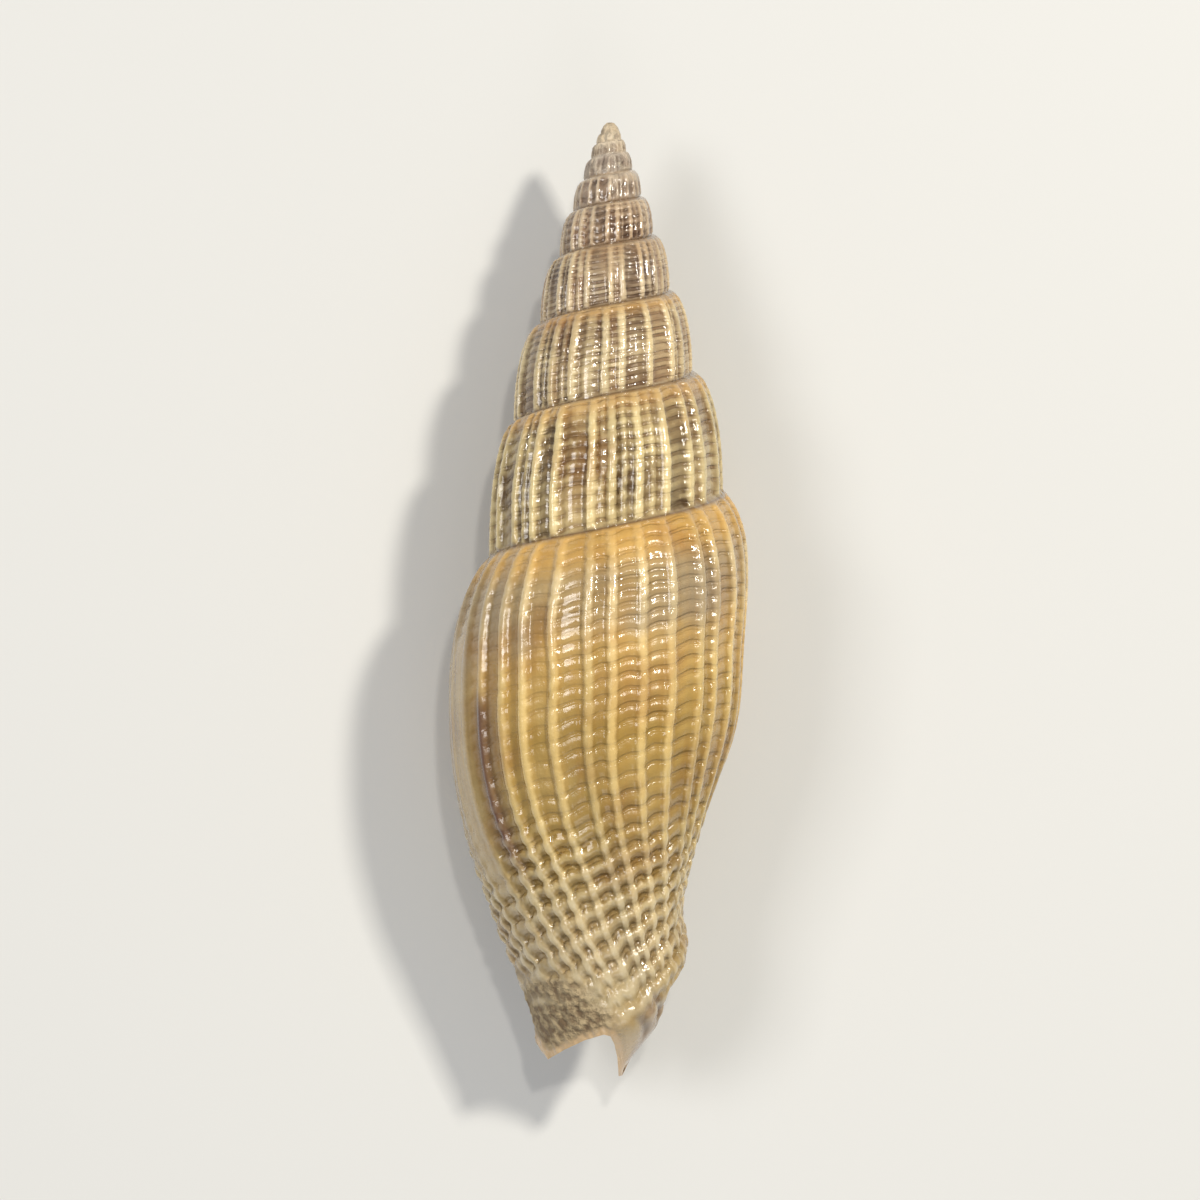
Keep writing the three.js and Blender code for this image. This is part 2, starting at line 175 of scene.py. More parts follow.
# Growth stop at the left limb, crust beside the notch, chalky apex, crack along the suture
LIMB_BELOW = (23, 2.5)
LIMB_ABOVE = (37, 2.5)
LIMB_FROM = (-0.085, 0.02)
LIMB_TO = (0.005, 0.03)
LIMB_OLDEST_TURN = -0.35
LIMB_SMOOTHNESS = 0.8
CRUST_BELOW = (39.9, 1.4)
CRUST_ABOVE = (44.6, 0.6)
CRUST_FROM = (-0.15, 0.08)
CRUST_EDGE = [(0.5, 17, 3.1, 0), (0.4, -31, 5.3, 0)]
CRUST_EDGE_SIDEWAYS = 0.02
CRUST_SINK = 0.09
CRUST_RELIEF = 0.11
BUMPS_ROUND = 44
BUMP_WAVES = [(2.3, 4.1, 0.3), (-4.7, 3.3, 1.9), (6.1, 7.9, 4.0), (-7.3, 9.7, 2.2), (11.9, -5.9, 5.1)]
BUMP_TWIST = (1.7, 1.3, -2.1)
BUMP_TWIST_START = 3
TIP_ENDS = (-6.7, 1.5)
TIP_RELIEF = 0.02
CRACK_DEPTH = 0.09
CRACK = (0, 0.12)
CREASES = [(-0.352, 41.7, 0.9), (-0.29, 42.4, 0.6), (-0.42, 41.6, 0.7)]  # turn, depth, half the length
CREASE_SLANT = 0.03
CREASE_WIDTH = 0.017
CREASE_DEPTH = 0.3

# The mouth and the hollow behind it
WALL = 0.85
WALL_AT_CANAL = 0.6
WALL_THINS = (36, 6)
HOLLOW_TURN = -0.25
HOLLOW_TURN_AT_CANAL = 0
CANAL_CLOSES = (37.7, 6)
HOLLOW_DROP = 1.3
HOLLOW_PAST_TIP = 0.5
HOLLOW_TOP = (0, 0.08)
HOLLOW_TOP_GAP = 0.05
LEAST_GAP = 0.06
LEAST_RADIUS = 0.05
CALLUS = 0.1
CALLUS_TURN = 0.02
CALLUS_FROM = (0.93, 0.05)
LIRA_HEIGHT = 0.07
CORDS_TO_A_LIRA = 2
LIRAE_FROM_LIP = (0.01, 0.03)
FOLDS = 4
FOLD_HEIGHT = 0.42
FOLD_STEP = 1.9
FOLD_WIDTH = 0.45
FOLD_CLIMB = 15
FOLD_FADE = 0.15
FOLD_TOP = (0, 0.3)
FIRST_FOLD_DEPTH = 26.8
FOLD_REACH = 0.06  # how far outside the mouth they end, in turns
FOLDS_OLDEST_TURN = -1.9

# How finely the surface is divided
COLUMNS_PER_TURN = 372
CORD_ROWS = 4.5  # rows for each cord of the last whorl
MOST_CORDS = 60
SPIRE_ROWS = 38  # on the whorl above the last
LEAST_SPIRE_ROWS = 6
SPIRE_ROW_CROWDING = 1.25  # towards the suture
COARSENING = 0.79  # of columns and rows, for each turn towards the apex
HOLLOW_COLUMNS = 40
HOLLOW_ROWS = 90
MIDDLE_DEPTH = 30.0  # where the search for each row begins
DEPTH_ROUNDS = 14
TOP_MARGIN = 0.05
TIP_MARGIN = 0.15
TIP_GAP = 0.03
MOST_WHORLS = 10
SEAM_SLACK = 0.002
SUTURE_SLACK = 0.01

# Fit in the frame's box
FIT_SLACK = 0.9995
TOP_CLEARANCE = 0.002
SHARP_ANGLE = math.radians(50)

# The view: straight down on the upright shell, from a long lens
IMAGE_PIXELS = 1200
PIXEL = LENGTH / 954  # the size of a pixel at the shell's axis
AXIS_PIXEL = 610
APEX_PIXEL = 122
LENS = 150
SENSOR = 36

# Studio. Each light is (name, place, size, power, colour), in metres and watts.
FLOOR_REACH = 1.5
FLOOR_TONES = ((0.70, 0.70, 0.69, 1), (0.74, 0.74, 0.73, 1))
FLOOR_NOISE = (6, 2)
FLOOR_RAMP = (0.3, 0.7)
FLOOR_ROUGHNESS = 0.8
SKY_COLOUR = (0.93, 0.96, 1, 1)
SKY_STRENGTH = 0.27
LIGHTS = [
    ("key", (0.17, 0.12, 0.29), 0.035, 0.78, (1, 0.95, 0.84)),
    ("top", (0.03, 0.10, 0.37), 0.018, 0.24, (1, 0.96, 0.88)),
    ("soft", (-0.22, 0.06, 0.32), 0.12, 0.46, (1, 0.98, 0.95)),
    ("low", (0.05, -0.35, 0.30), 0.2, 0.15, (1, 1, 1)),
]

# Colours, as linear red, green and blue. Each row is (turn, on the ribs, between the ribs).
SPIRE_COLOURS = [
    (-8.4, (0.66, 0.54, 0.38), (0.44, 0.33, 0.22)),
    (-7.4, (0.66, 0.55, 0.41), (0.26, 0.18, 0.12)),
    (-6.2, (0.52, 0.44, 0.36), (0.20, 0.14, 0.10)),
    (-5.2, (0.54, 0.43, 0.31), (0.16, 0.10, 0.065)),
    (-4.0, (0.66, 0.52, 0.35), (0.20, 0.12, 0.07)),
    (-3.0, (0.70, 0.55, 0.34), (0.18, 0.10, 0.055)),
    (-2.0, (0.72, 0.58, 0.33), (0.19, 0.11, 0.05)),
    (-1.2, (0.72, 0.58, 0.30), (0.20, 0.12, 0.045)),
]
# Each row is (millimetres below the suture, on the ribs, between the ribs).
BODY_COLOURS = [
    (0.0, (0.66, 0.40, 0.12), (0.55, 0.32, 0.075)),
    (1.3, (0.71, 0.47, 0.17), (0.56, 0.34, 0.10)),
    (2.3, (0.74, 0.58, 0.32), (0.38, 0.26, 0.11)),
    (4.1, (0.76, 0.59, 0.31), (0.40, 0.26, 0.095)),
    (5.2, (0.80, 0.58, 0.26), (0.50, 0.31, 0.085)),
    (7.2, (0.76, 0.55, 0.22), (0.47, 0.29, 0.075)),
    (9.5, (0.68, 0.48, 0.18), (0.37, 0.23, 0.05)),
    (14.0, (0.63, 0.47, 0.20), (0.34, 0.215, 0.05)),
    (17.0, (0.62, 0.49, 0.26), (0.31, 0.21, 0.07)),
    (20.0, (0.60, 0.48, 0.28), (0.32, 0.22, 0.09)),
    (22.5, (0.48, 0.38, 0.21), (0.33, 0.24, 0.12)),
    (25.0, (0.52, 0.38, 0.21), (0.44, 0.31, 0.16)),
]
BODY_COLOURS_SUTURE = 18.7  # the suture's depth where those measures hold
RIB_TONE_SPREAD = 0.11
RIB_TONE_SPIN = (2.3, 2)
HOLLOW_TONE_SPREAD = 0.14
SPIRE_HOLLOW_TONE_SPREAD = 0.26
HOLLOW_TONE_SPIN = (1.3, 1)

# Tints laid over them in this order, each with its strength
TINTS = [
    ("shoulder", (0.58, 0.34, 0.11), 0.7),
    ("worn", (0.27, 0.20, 0.12), 0.5),
    ("limb", (0.44, 0.31, 0.12), 0.75),
    ("limb_lines", (0.27, 0.18, 0.08), 0.6),
    ("streak", (0.13, 0.055, 0.035), 1),
    ("fasciole", (0.42, 0.29, 0.105), 0.8),
    ("pillar", (0.36, 0.26, 0.18), 0.8),
    # crack: painted shade, a dark line in the crack along the suture and in the creases beside the canal's
    # spike
    ("crack", (0.14, 0.085, 0.045), 1),
    ("rim", (0.66, 0.47, 0.27), 1),
]
SHOULDER_TINT = (0.05, 0.16)
SHOULDER_TINT_FROM = (-3.4, 0.6)
WORN_FROM = (-0.18, 0.09)
WORN_BAND = (2.8, 2.3)
LIMB_LINE_RATES = (14.5, 23)
LIMB_LINE_SLANT = 0.4
STREAK = (-0.094, 0.013)
STREAK_BELOW = (26, 2)
STREAK_ABOVE = (36.5, 3)
FASCIOLE_TINT_TO = (-0.1, 0.1)
PILLAR_BELOW = (40.6, 1.2)
PILLAR_FROM = (-0.8, 0.1)
PILLAR_TO = (-0.27, 0.04)
# Painted shade along the crack at the suture and in the creases
CRACK_SHADE_BAND = (0, 0.11)
CRACK_SHADE_FROM = (-6, 2)
CRACK_SHADE_STRENGTH = 0.9
CREASE_SHADE_STRENGTH = 0.8
RIM_WIDTH = (0.22, 0.25)
RIM_BELOW = 40
FAR_AWAY = 99.0
MOUTH_DEPTH = (0.25, 0.3)
MOUTH_SHADE = (0, 0.25)
CALLUS_CREAM = (0.60, 0.44, 0.27)
# Painted shade deep inside the mouth
MOUTH_SHADE_BROWN = (0.36, 0.22, 0.12)
LAST_WHORL_SEAM = 0.02
GREY_BAND = (3.9, 2.2)

# The material's patterns. Noise is (scale, detail). A ramp is (from low, from high, to low, to high).
MOTTLE = (1500, 4)
GRAIN = (5200, 3)
GROWTH = (2600, 2, (1, 0.12, 1))
STAINS = (260, 3)
STAIN_RAMP = (0.5, 0.68, 0, 0.55)
STAIN_BROWN = (0.62, 0.47, 0.36, 1)
BAND_PATCHES = (230, 3)
BAND_RAMP = (0.5, 0.62)
BAND_STRENGTH = 0.7
BAND_GREY = (0.36, 0.28, 0.18, 1)
GROWTH_RAMP = (0.35, 0.65, 0, 0.35)
GROWTH_BROWN = (0.5, 0.4, 0.3, 1)
FLAKES = (2300, 5)
FLAKE_RAMP = (0.38, 0.62)
CRUST_STRENGTH = 0.9
CRUST_BROWN = (0.16, 0.10, 0.05, 1)
CRUST_CREAM = (0.52, 0.40, 0.23, 1)
TIP_CHALK_RAMP = (0.55, 1.0, 0, 0.55)
TIP_CHALK = (0.68, 0.57, 0.42, 1)
TIP_PIT_RAMP = (0.0, 0.35, 0.55, 0)
TIP_PIT_BROWN = (0.22, 0.16, 0.12, 1)
BEAD_STRENGTH = 0.6
RAGGED_RIB_RAMP = (0.35, 0.7, -0.25, 0.25)
BLOTCHES = (420, 3)
BLOTCH_RAMP = (0.38, 0.66, 0.0, 0.55)
BLOTCHES_ON_SPIRE = (0, 1, 0.5, 1)
RIB_COLOUR_RAMP = (0.2, 0.8)
THREAD_RAMP = (0.3, 0.7, 0.0, 0.5)
BEAD_TOP_RAMP = (0.5, 1.0, 0.0, 0.45)
BEAD_CREAM = (0.72, 0.62, 0.42, 1)
# Painted shade: the brown multiplied into the narrow grooves between the cords
GROOVE_SHADE_BROWN = (0.38, 0.25, 0.16, 1)
GROOVE_SHADE_ON_SPIRE = (0, 1, 0.38, 0.75)
GROOVE_SHADE_ON_BASE = (0, 1, 1.0, 0.45)
GROOVE_SHADE_PATCH_RAMP = (0.4, 0.6, 0.15, 1.0)
GROOVE_SHADE_ON_RIBS = (0.1, 0.8, 1.0, 0.12)
WAVE_SOFTENING = 0.02
CORD_RAMP = (-0.2, 0.8)
GROOVE_RAMP = (-0.92, -0.4, 1.0, 0.0)
ROUGHNESS_RAMP = (0.3, 0.7, 0.12, 0.34)
DULL_ROUGHNESS = 0.5
COAT_RAMP = (0, 1, 0.7, 0.1)
COAT_ROUGHNESS = 0.07
INDEX = 1.55
BUMP_ON_RIBS = (0.3, 1.0, 1.0, 0.3)
GRAIN_BUMP = 0.12
MOTTLE_BUMP = 0.5
GROWTH_BUMP = 0.3
FLAKE_BUMP = 1.2
CORD_BUMP = 0.28
GROOVE_BUMP = -0.6
BUMP_STRENGTH = 0.8
BUMP_DISTANCE = 0.00014


# Curves
def smooth(value):
    share = np.clip(value, 0, 1)
    return share * share * (3 - 2 * share)


def rise(value, start, length):
    return smooth((value - start) / length)


def fall(value, end, length):
    return smooth((end - value) / length)


def hump(value, middle, width):
    return np.exp(-(((value - middle) / width) ** 2))


def ripples(rows, turn, depth):
    return sum(size * np.sin(around * turn + down * depth + start) for size, around, down, start in rows)


def uneven(number, spin, twist=1):
    """From -1 to 1, differently for each whole number."""
    return np.sin(number * number * spin + twist * number)


def nearest(values, wanted):
    return int(np.argmin(abs(values - wanted)))


def curve_through(places, rows, place):
    """A smooth curve through rows of values at the given places; rows[k] may be an array."""
    places = np.asarray(places, float)
    place = np.clip(np.asarray(place, float), places[0], places[-1])
    rows = np.stack([np.broadcast_to(row, place.shape) for row in rows])
    low = np.maximum(np.arange(len(places)) - 1, 0)
    high = np.minimum(np.arange(len(places)) + 1, len(places) - 1)
    spans = (places[high] - places[low]).reshape((-1,) + (1,) * place.ndim)
    slopes = (rows[high] - rows[low]) / spans
    i = np.clip(np.searchsorted(places, place, side="right") - 1, 0, len(places) - 2)
    width = places[i + 1] - places[i]
    s = (place - places[i]) / width

    def pick(table, k):
        return np.take_along_axis(table, k[None], 0)[0]

    start = (1 + 2 * s) * (1 - s) ** 2 * pick(rows, i) + s * (1 - s) ** 2 * width * pick(slopes, i)
    end = s * s * (3 - 2 * s) * pick(rows, i + 1) + s * s * (s - 1) * width * pick(slopes, i + 1)
    return start + end


# Growth of the coil
def suture_depth(turn):
    lift = SUTURE_LIFT * np.clip((turn + LIFT_TURNS) / LIFT_TURNS, 0, LIFT_LIMIT) ** LIFT_POWER
    return SUTURE_REACH * WHORL_RATIO**turn - POLE_RISE - lift


def suture_radius(turn):
    late = np.minimum(turn, SPREAD_ENDS)
    slowed = late - SPREAD_SLOWING * np.maximum(0, late - SPREAD_SLOWS_FROM) ** 2
    return SUTURE_RADIUS * SUTURE_SPREAD ** (slowed + 1)


def whorl_height(turn):
    return suture_depth(turn + 1) - suture_depth(turn)


def whorl_share(turn, depth):
    return (depth - suture_depth(turn)) / whorl_height(turn)


def last_whorl_radius(turn, depth):
    share = np.clip((depth - suture_depth(turn)) / (LENGTH - suture_depth(turn)), 0, 1)
    rows = [curve_through(GIRTH_SHARES, row, share) for row in GIRTHS]
    turns = [FIRST_GIRTH_TURN + GIRTH_STEP * k for k in range(len(GIRTHS))]
    return np.maximum(curve_through(turns, rows, turn), 0)


def fasciole(turn, depth):
    middle = FASCIOLE_DEPTH + FASCIOLE_CLIMB * (turn + 0.5)
    ridge = FASCIOLE_HEIGHT * hump(depth, middle, FASCIOLE_WIDTH)
    return ridge * rise(turn, *BASE_BEGINS) * np.clip((LENGTH - depth) / FASCIOLE_END, 0, 1)


def envelope(turn, depth):
    """The smooth surface that the tops of the ribs touch."""
    following = suture_depth(turn + 1)
    share = whorl_share(turn, depth)
    girth = last_whorl_radius(turn, depth)
    bulge = np.sqrt(1 - (1 - np.clip(share, 0, 1)) ** WHORL_BULGE)
    radius = suture_radius(turn) + (suture_radius(turn + 1) - suture_radius(turn)) * bulge
    girth_there = np.maximum(last_whorl_radius(turn, following), LEAST_GIRTH)
    radius = np.where(share > 1, suture_radius(turn + 1) * girth / girth_there, radius)
    blend = rise(turn, *GIRTHS_FROM)
    return radius * (1 - blend) + girth * blend + fasciole(turn, depth)


def lag(depth):
    """How far growth lines lean to the right on the base, in turns."""
    return -GROWTH_LAG * np.clip((depth - LAG_FROM) / LAG_DEPTH, 0, LAG_LIMIT) ** LAG_POWER


def last_whorl_share(turn):
    """0 on the spire and 1 on the last whorl."""
    return rise(turn, LIP_TURN - 1, LAST_WHORL_SEAM)


# Sculpture
def rib_count(turn):
    """The number of ribs grown, if they were even. There are more of them to a turn on the last whorl."""
    added = np.clip((turn - RIBS_ADDED_FROM) / RIBS_ADDED_OVER, 0, 1)
    since = np.maximum(turn - RIBS_ADDED_FROM - RIBS_ADDED_OVER, 0)
    extra = RIBS_ADDED_OVER * (added**3 - added**4 / 2) + since
    return RIBS_ON_SPIRE * turn + RIBS_ADDED * extra


def rib_phase(turn):
    """Whole on each rib; the ribs wander from their even places."""
    return rib_count(turn) + ripples(RIB_WANDER, turn, 0)


def rib_height(turn, depth):
    """1 on top of a rib and 0 in the hollow between two. All ribs are about as wide."""
    grown = turn - lag(depth)
    phase = rib_phase(grown) + ripples(RIB_WAVER, turn, depth)
    ahead = grown + SMALL_TURN
    crowding = (rib_phase(ahead) - rib_phase(grown)) / (rib_count(ahead) - rib_count(grown))
    away = abs(phase - np.round(phase)) / crowding
    wider = RIBS_WIDER_BY * rise(depth, *RIBS_WIDER_BELOW) * rise(turn, *RIBS_WIDER_FROM)
    strength = RIB_STRENGTH + RIB_STRENGTH_SPREAD * uneven(np.round(phase), RIB_STRENGTH_SPIN)
    main = (1 - rise(away - wider, RIB_TOP, RIB_SIDE)) * strength
    return np.maximum(main, lesser_rib(turn, phase))


def lesser_rib(turn, phase):
    """The low rib in some hollows of the spire."""
    gap = np.floor(phase)
    strength = LESSER_RIB + LESSER_RIB_SPREAD * uneven(gap, LESSER_RIB_SPIN)
    across = fall(abs(phase - gap - 0.5), *LESSER_RIB_SIDE)
    return strength * across * (1 - rise(turn, *LESSER_RIBS_END))


def rib_fade(turn, depth):
    """1 where the ribs stand out fully and 0 where there are none."""
    below = depth - suture_depth(turn)
    shoulder = SHOULDER_SHARE * rise(below, *SHOULDER) + (1 - SHOULDER_SHARE) * rise(below, *BELOW_SHOULDER)
    climb = RIBS_END_CLIMB * np.clip(RIBS_END_CLIMBS_FROM - turn, 0, 1)
    above_canal = fall(depth + climb, *RIBS_END)
    return shoulder * above_canal * rise(turn, *RIBS_BEGIN) * (1 - LIMB_SMOOTHNESS * limb_share(turn, depth))


def cord_phase(turn, depth):
    """Cords are counted down the whorl from 0 at the suture; the last whorl has more of them."""
    reach = np.log((depth + POLE_RISE) / (SUTURE_REACH * WHORL_RATIO**turn))
    late = rise(turn, *MORE_CORDS_FROM)
    return reach * ((1 - late) / SPIRE_CORD_STEP + late / CORD_STEP)


def cord_waves(turn, depth):
    """The cosine and sine of the cord's phase: the cosine is 1 on a cord and -1 in the groove beside it."""
    ribs = rib_phase(turn - lag(depth))
    bend = ripples(CORD_WAVER, ribs, depth) - CORD_BEND * np.cos(TURN * ribs)
    phase = TURN * (cord_phase(turn, depth) + bend)
    return np.cos(phase), np.sin(phase)


def cord_height(turn, depth):
    return rise(cord_waves(turn, depth)[0], *CORD_RISE)


def cord_share(turn, depth):
    """How clearly the cords show. They are weak on the left of the last whorl and none at the two ends."""
    ends = fall(depth, *CORDS_END) * rise(turn, *CORDS_BEGIN)
    base = base_share(turn, depth)
    weak = rise(turn, *WEAK_CORDS_FROM) * (1 - base)
    patches = ripples(CORD_PATCHES, turn, depth) * ripples(CROSSING_PATCHES, turn, depth)
    patchy = CORD_STRENGTH + patches
    shown = ends * (patchy + (1 - patchy) * base) * (1 - WEAKENING * weak)
    return shown * (1 - WEAKENING_ON_LIMB * limb_share(turn, depth)) * (1 - crust_share(turn, depth))


def base_share(turn, depth):
    """0 above the beaded base and 1 on it."""
    return rise(depth + BASE_CLIMB * (turn - FRONT_TURN), *BASE_BELOW) * rise(turn, *BASE_BEGINS)


def limb_share(turn, depth):
    """1 on the wide, flat growth stop at the left limb."""
    grown = turn - lag(depth)
    lengthwise = rise(depth, *LIMB_BELOW) * fall(depth, *LIMB_ABOVE)
    across = rise(grown, *LIMB_FROM) * (1 - rise(grown, *LIMB_TO))
    return across * lengthwise * (turn > LIMB_OLDEST_TURN)


def crust_share(turn, depth):
    """1 on the worn, rough crust beside the notch."""
    grown = turn - lag(depth)
    edge = ripples(CRUST_EDGE, turn, depth)
    lengthwise = rise(depth - edge, *CRUST_BELOW) * fall(depth, *CRUST_ABOVE)
    return lengthwise * rise(grown + CRUST_EDGE_SIDEWAYS * edge, *CRUST_FROM)


def tip_share(turn):
    """1 on the oldest, chalky whorls at the apex."""
    return 1 - rise(turn, *TIP_ENDS)


def bumps(turn, depth):
    """Small, uneven bumps, from -1 to 1."""
    across = BUMPS_ROUND * turn
    size, around, down = BUMP_TWIST
    height = 0
    for wave_around, wave_down, start in BUMP_WAVES:
        twist = ripples([(size, around, down, BUMP_TWIST_START * start)], across, depth)
        height = height + np.sin(wave_around * across + wave_down * depth + start + twist)
    return height / len(BUMP_WAVES)


def grooves(turn, depth, rib, cord, base):
    """The depth of the grooves between the cords, which hardly cut the ribs."""
    uncut = RIBS_UNCUT + RIBS_MORE_UNCUT * rise(turn, *RIBS_MORE_UNCUT_FROM) - RIBS_CUT_ON_BASE * base
    deepest = (GROOVE_DEPTH + BASE_GROOVE_DEPTH * base) * fineness(turn) * (1 - rib * uncut)
    return deepest * (1 - cord) * cord_share(turn, depth)


def fineness(turn):
    """Small depths shrink with the oldest whorls."""
    return rise(whorl_height(turn), 0, FULL_WHORL_HEIGHT)


def dents(turn, depth, crusted):
    """The depth of the crack along the suture, of the rough places and of the creases."""
    crack = CRACK_DEPTH * fineness(turn) * hump(depth - suture_depth(turn), *CRACK)
    crust = crusted * (CRUST_SINK - CRUST_RELIEF * bumps(turn, depth))
    tip = tip_share(turn) * (TIP_RELIEF - TIP_RELIEF * bumps(turn / 2, depth * 2))
    return crack + crust + tip + CREASE_DEPTH * creases(turn, depth)


def creases(turn, depth):
    """1 in the middle of the sharp creases beside the canal's spike and 0 away from them."""
    height = 0
    for crease_turn, crease_depth, length in CREASES:
        slanted = turn + CREASE_SLANT * (depth - crease_depth)
        height = height + hump(slanted, crease_turn, CREASE_WIDTH) * hump(depth, crease_depth, length)
    return np.minimum(height, 1)


def folds(turn, depth):
    """Slanting folds on the columella, which end just outside the mouth."""
    inside = fall(turn, LIP_TURN - 1 + FOLD_REACH, FOLD_REACH) * (turn > FOLDS_OLDEST_TURN)
    climb = FOLD_CLIMB * (turn - LIP_TURN + 1)
    height = 0
    for fold in range(FOLDS):
        middle = FIRST_FOLD_DEPTH + fold * FOLD_STEP + climb
        height = height + (1 - FOLD_FADE * fold) * hump(depth, middle, FOLD_WIDTH)
    return FOLD_HEIGHT * height * inside * rise(depth - suture_depth(turn + 1), *FOLD_TOP)


def sculpted(turn, depth):
    """The radius with ribs, cords, beads and folds."""
    radius = envelope(turn, depth)
    rib = rib_height(turn, depth)
    cord = cord_height(turn, depth)
    base = base_share(turn, depth)
    crusted = crust_share(turn, depth)
    relief = SPIRE_RELIEF - RELIEF_LOST * rise(turn, *RELIEF_FALLS)
    filled = 1 - CORDS_FILL_HOLLOWS * base * cord
    hollow = relief * radius * (1 - rib) * filled * rib_fade(turn, depth) * (1 - crusted)
    cut_away = grooves(turn, depth, rib, cord, base) + dents(turn, depth, crusted)
    return radius - hollow - cut_away + folds(turn, depth)


def placed(turn, depth, radius):
    """Points of the upright shell, with the spire towards +Y."""
    angle = TURN * turn + math.pi / 2
    sway = curve_through(SWAY_DEPTHS, SWAYS, depth)
    return np.stack([sway - radius * np.sin(angle), -depth, radius * np.cos(angle)], -1)


class Skin:
    """A surface made of rows of points. A row is a list of (id, place along the row)."""

    def __init__(self):
        self.turns = []
        self.depths = []
        self.radius_shares = []
        self.faces = []

    def add(self, turn, depth, radius_share=1):
        self.turns.append(turn)
        self.depths.append(depth)
        self.radius_shares.append(radius_share)
        return len(self.turns) - 1

    def face(self, *corners):
        if len(set(corners)) == len(corners):
            self.faces.append(corners)

    def zip(self, left, right):
        """Fills between two rows. Seen from outside, with both running down, the first is on the left."""
        i = j = 0
        last_left, last_right = len(left) - 1, len(right) - 1
        while i < last_left or j < last_right:
            if i < last_left and j < last_right:
                slip = left[i][1] + left[i + 1][1] - right[j][1] - right[j + 1][1]
                step = left[i + 1][1] - left[i][1]
                corners = (left[i][0], left[i + 1][0], right[j + 1][0], right[j][0])
                if abs(slip) < step and len(set(corners)) == 4:
                    self.faces.append(corners)
                    i += 1
                    j += 1
                    continue
                go_left = slip <= 0
            else:
                go_left = j == last_right
            if go_left:
                self.face(left[i][0], left[i + 1][0], right[j][0])
                i += 1
            else:
                self.face(left[i][0], right[j + 1][0], right[j][0])
                j += 1

    def ring(self, outer, inner):
        for k, point in enumerate(outer):
            following = (k + 1) % len(outer)
            self.face(point, outer[following], inner[following], inner[k])

    def close(self, outer, depth):
        middle = self.add(0, depth, 0)
        for k, point in enumerate(outer):
            self.face(point, outer[(k + 1) % len(outer)], middle)

    def points(self):
        turn, depth = np.array(self.turns), np.array(self.depths)
        return placed(turn, depth, sculpted(turn, depth) * np.array(self.radius_shares))


# The outside, closed across the mouth
def column_turns():
    turns = [APEX_TURN]
    while turns[-1] < LIP_TURN:
        fine = COARSENING ** max(LIP_TURN - 1 - turns[-1], 0)
        turns.append(turns[-1] + 1 / (COLUMNS_PER_TURN * fine))
    turns = np.array(turns)
    for exact in (APEX_TURN, APEX_TURN + 1, LIP_TURN - 1, LIP_TURN):
        turns[nearest(turns, exact)] = exact
    return turns[turns <= LIP_TURN]


def spire_column(skin, turn):
    rows = max(round(SPIRE_ROWS * COARSENING ** (LIP_TURN - 1 - turn)), LEAST_SPIRE_ROWS)
    shares = (np.arange(rows) / rows) ** SPIRE_ROW_CROWDING
    top, height = suture_depth(turn), whorl_height(turn)
    return [(skin.add(turn, top + height * share), share) for share in shares]


def last_whorl_depths(turn):
    """Rows at even steps of the cords, below the suture."""
    row_phases = np.arange(0, MOST_CORDS * CORD_ROWS) / CORD_ROWS
    depth = np.full(len(row_phases), MIDDLE_DEPTH)
    for _ in range(DEPTH_ROUNDS):
        grown = (turn + lag(depth)) * math.log(WHORL_RATIO)
        depth = np.exp(row_phases * CORD_STEP + math.log(SUTURE_REACH) + grown) - POLE_RISE
    top = suture_depth(turn)
    keep = (depth > top + TOP_MARGIN) & (depth < LENGTH - TIP_MARGIN)
    return np.concatenate([[top], depth[keep], [LENGTH - TIP_GAP]])


def last_whorl_column(skin, turn, depths):
    grown = turn + lag(depths)
    places = np.log((depths + POLE_RISE) / WHORL_RATIO**grown)
    return [(skin.add(g, d), p) for g, d, p in zip(grown, depths, places)]


def outer_form():
    skin = Skin()
    turns = column_turns()
    split = nearest(turns, LIP_TURN - 1)
    columns = [spire_column(skin, turn) for turn in turns[:split]]
    depths = last_whorl_depths(turns[split])
    meeting = nearest(depths, suture_depth(LIP_TURN))
    depths[meeting] = suture_depth(LIP_TURN)
    columns.append(last_whorl_column(skin, turns[split], depths))
    for turn in turns[split + 1:]:
        columns.append(last_whorl_column(skin, turn, last_whorl_depths(turn)))
    lip, pillar = columns[-1], columns[split]
    pillar[meeting] = (lip[0][0], pillar[meeting][1])
    join_spire(skin, columns, turns, split, meeting)
    for k in range(split, len(columns) - 1):
        skin.zip(columns[k + 1], columns[k])
    by_depth = [[(i, skin.depths[i]) for i, _ in column] for column in (pillar[meeting:], lip)]
    skin.zip(*by_depth)
    skin.close([column[-1][0] for column in columns[split:]], LENGTH)
    close_apex(skin, columns, nearest(turns, APEX_TURN + 1))
    return skin


def join_spire(skin, columns, turns, split, meeting):
    """Fills between the spire's columns, and between each whorl and the one below it."""
    for k in range(split - 1):
        skin.zip(columns[k + 1], columns[k])
    top, height = suture_depth(LIP_TURN - 1), whorl_height(LIP_TURN - 1)
    pillar_top = [(i, (skin.depths[i] - top) / height) for i, _ in columns[split][:meeting]]
    skin.zip(pillar_top, columns[split - 1])
    above = [(columns[k][-1][0], turns[k]) for k in range(split)] + [(pillar_top[-1][0], turns[split])]
    start = nearest(turns, APEX_TURN + 1)
    below = [(columns[k][0][0], turns[k] - 1) for k in range(start, len(turns))]
    skin.zip(above, below)


def close_apex(skin, columns, start):
    """A small dome over the first whorl."""
    ring = [columns[k][0][0] for k in range(start, -1, -1)] + [i for i, _ in columns[0][1:]]
    for radius_share, depth_share in APEX_DOME:
        inner = [skin.add(skin.turns[i], skin.depths[i] * depth_share, radius_share) for i in ring]
        skin.ring(ring, inner)
        ring = inner
    skin.close(ring, APEX_DEPTH)


